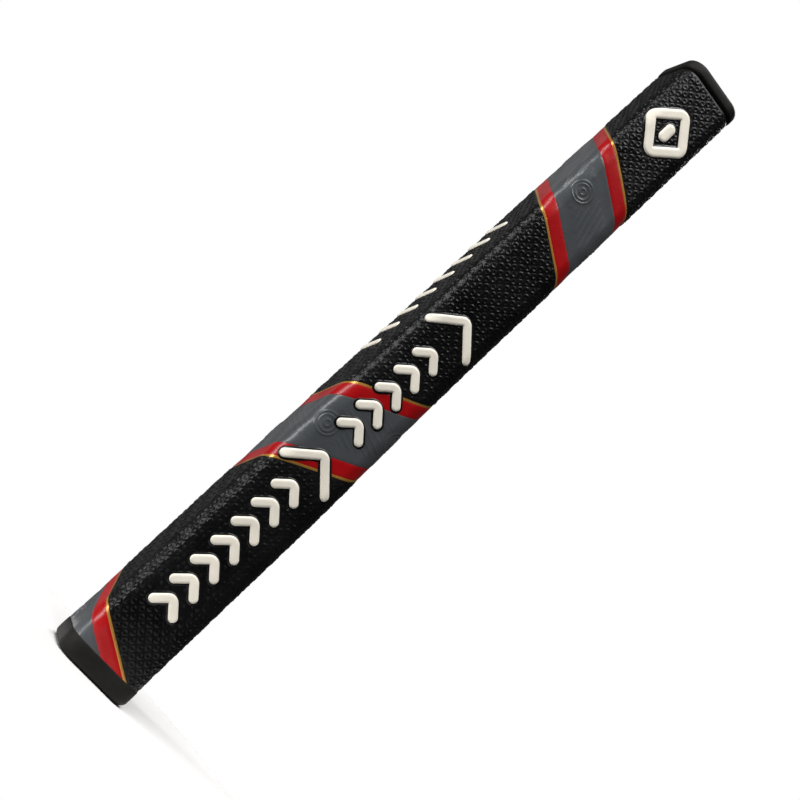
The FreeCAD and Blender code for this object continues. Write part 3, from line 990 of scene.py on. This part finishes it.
class GRIP_OT_port_plug(bpy.types.Operator):
    """Turn the port plug: bevelled head with a hexagon socket and a threaded shank"""
    bl_idname = "grip.port_plug"
    bl_label = "Port Plug"

    def execute(self, context):
        top = PLUG_HIGH.z
        head_bottom = top - 0.001
        head = PLUG_HIGH.x
        shank = 0.0050
        pitch = 0.0015
        root = shank - 0.0008
        tip = PLUG_LOW.z
        rim = head - 0.0019
        profile = (
            (0.0, tip), (root - 0.0005, tip), (root, tip + 0.0004), (root, head_bottom),
            (head - 0.0001, head_bottom), (head, head_bottom + 0.0001), (head, top - 0.0003),
            (head - 0.0003, top), (head - 0.0012, top), (head - 0.0014, top - 0.00015),
            (head - 0.0017, top - 0.00015), (rim, top),
        )
        whole = turned(profile, 96, 2 * math.pi, use_merge=True)
        # the socket: its mouth joined to the face, its walls drawn down and its floor filled
        socket_flats, socket_depth = 0.0025, 0.003
        mouth = socket_flats / math.cos(math.pi / 6)
        open_edges = [edge for edge in whole.edges if edge.is_boundary]
        bmesh.ops.create_circle(whole, segments=6, radius=mouth,
                                matrix=Matrix.Translation((0, 0, top)))
        hexagon = [edge for edge in whole.edges if edge.is_wire]
        bmesh.ops.triangle_fill(whole, use_beauty=True, use_dissolve=False,
                                edges=open_edges + hexagon, normal=(0, 0, 1))
        drawn = bmesh.ops.extrude_edge_only(whole, edges=hexagon)["geom"]
        floor = [item for item in drawn if isinstance(item, bmesh.types.BMVert)]
        bmesh.ops.translate(whole, verts=floor, vec=(0, 0, -socket_depth))
        bmesh.ops.edgeloop_fill(whole, edges=[edge for edge in whole.edges if edge.is_boundary])
        bmesh.ops.recalc_face_normals(whole, faces=whole.faces[:])
        start = tip + 0.0004
        turns = (head_bottom - 0.0006 - start) / pitch
        flank = ((root - 0.0001, start), (shank - 0.0001, start + pitch * 0.42),
                 (shank - 0.0001, start + pitch * 0.58), (root - 0.0001, start + pitch))
        round_steps = 36
        steps = math.floor(round_steps * (turns - 1))
        thread = turned(flank, steps, 2 * math.pi * steps / round_steps,
                        dvec=(0, 0, pitch / round_steps))
        bmesh.ops.recalc_face_normals(thread, faces=thread.faces[:])
        join(whole, thread)
        piece = new_piece("plug", whole, material("anodised"), body="plug", smooth=False)
        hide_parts("port_plug")
        return {"FINISHED"}


class GRIP_OT_stage(bpy.types.Operator):
    """Set the pale floor, the soft lights and the camera"""
    bl_idname = "grip.stage"
    bl_label = "Studio Stage"

    def execute(self, context):
        scene = context.scene
        bm = bmesh.new()
        bmesh.ops.create_circle(bm, cap_ends=True, segments=96, radius=0.075,
                                matrix=Matrix.Translation((0, 0, -0.0002)))
        floor = mesh_object("studio_floor", bm, material("board"), smooth=False)

        # the room behind the camera is dim; only the backdrop that the camera sees is white
        scene.view_settings.view_transform = "Standard"
        world = bpy.data.worlds.new("studio_light")
        scene.world = world
        world.use_nodes = True
        tree = world.node_tree
        background = tree.nodes["Background"]
        background.inputs["Color"].default_value = linear("#FFFFFF")
        seen = add_node(tree, "ShaderNodeLightPath", "Is Camera Ray")
        room = add_node(tree, "ShaderNodeMapRange", "Result",
                        {"Value": seen, "To Min": 0.07, "To Max": 1.0})
        tree.links.new(room, background.inputs["Strength"])

        lights = (
            ("left_softbox", (-0.95, -0.22, 0.22), (0.22, 1.0), 8.5),
            ("back_left_softbox", (-0.60, 0.88, 0.36), (0.7, 0.9), 0.5),
            ("top_softbox", (-0.20, -0.50, 1.10), (0.9, 0.7), 16.0),
            ("back_top_softbox", (0.45, 0.60, 1.05), (0.5, 0.5), 6.0),
        )
        aim = Vector((0, 0, 0.13))
        for name, place, size, power in lights:
            data = bpy.data.lights.new(name, "AREA")
            data.shape = "RECTANGLE"
            data.size, data.size_y = size
            data.energy = power
            light = linked(name, data)
            light.location = place
            light.rotation_euler = (aim - Vector(place)).to_track_quat("-Z", "Y").to_euler()

        # the camera stands left of the front face, a little low, and is rolled to lay the
        # grip diagonally
        distance = 0.370
        lift, aside, roll = (math.radians(angle) for angle in (12.0, 14.0, 43.18))
        target_height = 0.122
        ahead = Vector((math.sin(aside), math.cos(aside), 0))
        upright = Vector((0, 0, 1))
        view = ahead * math.cos(lift) + upright * math.sin(lift)
        along = upright * math.cos(lift) - ahead * math.sin(lift)
        across = Vector((math.cos(aside), -math.sin(aside), 0))
        right = along * math.cos(roll) + across * math.sin(roll)
        up = along * math.sin(roll) - across * math.cos(roll)
        place = Vector((0, 0, target_height)) - view * distance
        data = bpy.data.cameras.new("camera")
        data.lens = 54.0
        data.sensor_width = 36.0
        data.clip_start = 0.01
        data.shift_x = 0.0125
        data.shift_y = -0.020
        camera = linked("camera", data)
        axes = Matrix((right, up, -view)).transposed().to_4x4()
        camera.matrix_world = Matrix.Translation(place) @ axes
        scene.camera = camera
        return {"FINISHED"}


class GRIP_PT_panel(bpy.types.Panel):
    """Lists the pieces of the grip in the order they are made"""
    bl_idname = "GRIP_PT_panel"
    bl_label = "Putter Grip"
    bl_space_type = "VIEW_3D"
    bl_region_type = "UI"
    bl_category = "Grip"

    def draw(self, context):
        for operator in PIECE_OPERATORS:
            self.layout.operator(operator.bl_idname)


PIECE_OPERATORS = (
    GRIP_OT_stage,
    GRIP_OT_inner_layers,
    GRIP_OT_embossed_skin,
    GRIP_OT_colour_bands,
    GRIP_OT_raised_marks,
    GRIP_OT_seam,
    GRIP_OT_collar,
    GRIP_OT_butt_cap,
    GRIP_OT_port_plug,
)
CLASSES = (GripShapeSettings, SkinSettings, ColourSettings, *PIECE_OPERATORS, GRIP_PT_panel)


def register():
    for kind in CLASSES:
        bpy.utils.register_class(kind)
    bpy.types.Scene.grip_shape = bpy.props.PointerProperty(type=GripShapeSettings)
    bpy.types.Scene.grip_skin = bpy.props.PointerProperty(type=SkinSettings)
    bpy.types.Scene.grip_colours = bpy.props.PointerProperty(type=ColourSettings)


def unregister():
    del bpy.types.Scene.grip_colours
    del bpy.types.Scene.grip_skin
    del bpy.types.Scene.grip_shape
    for kind in reversed(CLASSES):
        bpy.utils.unregister_class(kind)


def main():
    register()
    for operator in PIECE_OPERATORS:
        getattr(bpy.ops.grip, operator.bl_idname.removeprefix("grip."))()
    bpy.context.view_layer.update()


if __name__ == "__main__":
    main()
